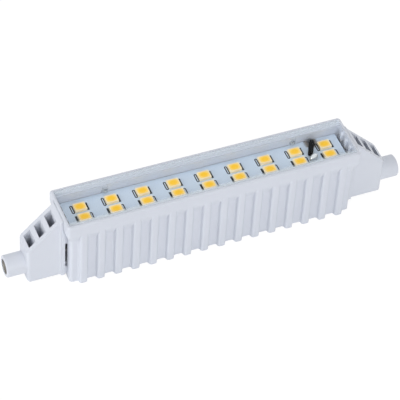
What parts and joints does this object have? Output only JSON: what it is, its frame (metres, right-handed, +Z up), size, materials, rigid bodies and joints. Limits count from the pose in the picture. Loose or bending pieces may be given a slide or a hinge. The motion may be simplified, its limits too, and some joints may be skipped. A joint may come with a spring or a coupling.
{
  "type": "linear led bulb",
  "caption": "Double-ended linear LED bulb: ribbed white housing with a flared rim, LED board under a clear cover, and vented wedge end caps with a recessed contact in each nipple.",
  "frame": {"origin": "on the base of the housing, under the middle of the lamp", "axes": "+X along the lamp towards the end with the black lead, +Z up from the base towards the light"},
  "size_m": [0.1176, 0.0154, 0.0233],
  "materials": {
    "housing_plastic": "moulded, satin",
    "cap_plastic": "moulded, satin",
    "clear_plastic": "clear, polished",
    "white_board": "white solder mask",
    "led_package": "moulded, white",
    "phosphor": "cast silicone with phosphor",
    "contact_metal": "nickel plated, turned",
    "black_insulation": "extruded sleeve",
    "white_insulation": "extruded sleeve",
    "solder": "tin solder, frozen",
    "driver_board": "green solder mask",
    "black_moulding": "moulded epoxy",
    "can_metal": "drawn can",
    "ferrite": "sintered, with copper winding",
    "film_block": "potted epoxy",
    "resistor_coat": "dipped coating"
  },
  "bodies": {
    "root": {"black_lead": "black_insulation", "bridge_rectifier": "black_moulding", "clear_cover": "clear_plastic", "driver_board": "driver_board", "driver_chip": "black_moulding", "feed_solder": "solder", "fuse_resistor": "resistor_coat", "housing": "housing_plastic", "led_01": "led_package", "led_02": "led_package", "led_03": "led_package", "led_04": "led_package", "led_05": "led_package", "led_06": "led_package", "led_07": "led_package", "led_08": "led_package", "led_09": "led_package", "led_10": "led_package", "led_11": "led_package", "led_12": "led_package", "led_13": "led_package", "led_14": "led_package", "led_15": "led_package", "led_16": "led_package", "led_17": "led_package", "led_18": "led_package", "led_board": "white_board", "left_contact": "contact_metal", "left_end_cap": "cap_plastic", "left_lead": "white_insulation", "output_capacitor": "film_block", "phosphor_01": "phosphor", "phosphor_02": "phosphor", "phosphor_03": "phosphor", "phosphor_04": "phosphor", "phosphor_05": "phosphor", "phosphor_06": "phosphor", "phosphor_07": "phosphor", "phosphor_08": "phosphor", "phosphor_09": "phosphor", "phosphor_10": "phosphor", "phosphor_11": "phosphor", "phosphor_12": "phosphor", "phosphor_13": "phosphor", "phosphor_14": "phosphor", "phosphor_15": "phosphor", "phosphor_16": "phosphor", "phosphor_17": "phosphor", "phosphor_18": "phosphor", "power_inductor": "ferrite", "return_lead": "white_insulation", "return_solder": "solder", "right_contact": "contact_metal", "right_end_cap": "cap_plastic", "right_lead": "white_insulation", "smoothing_capacitor": "can_metal"}
  },
  "joints": []
}
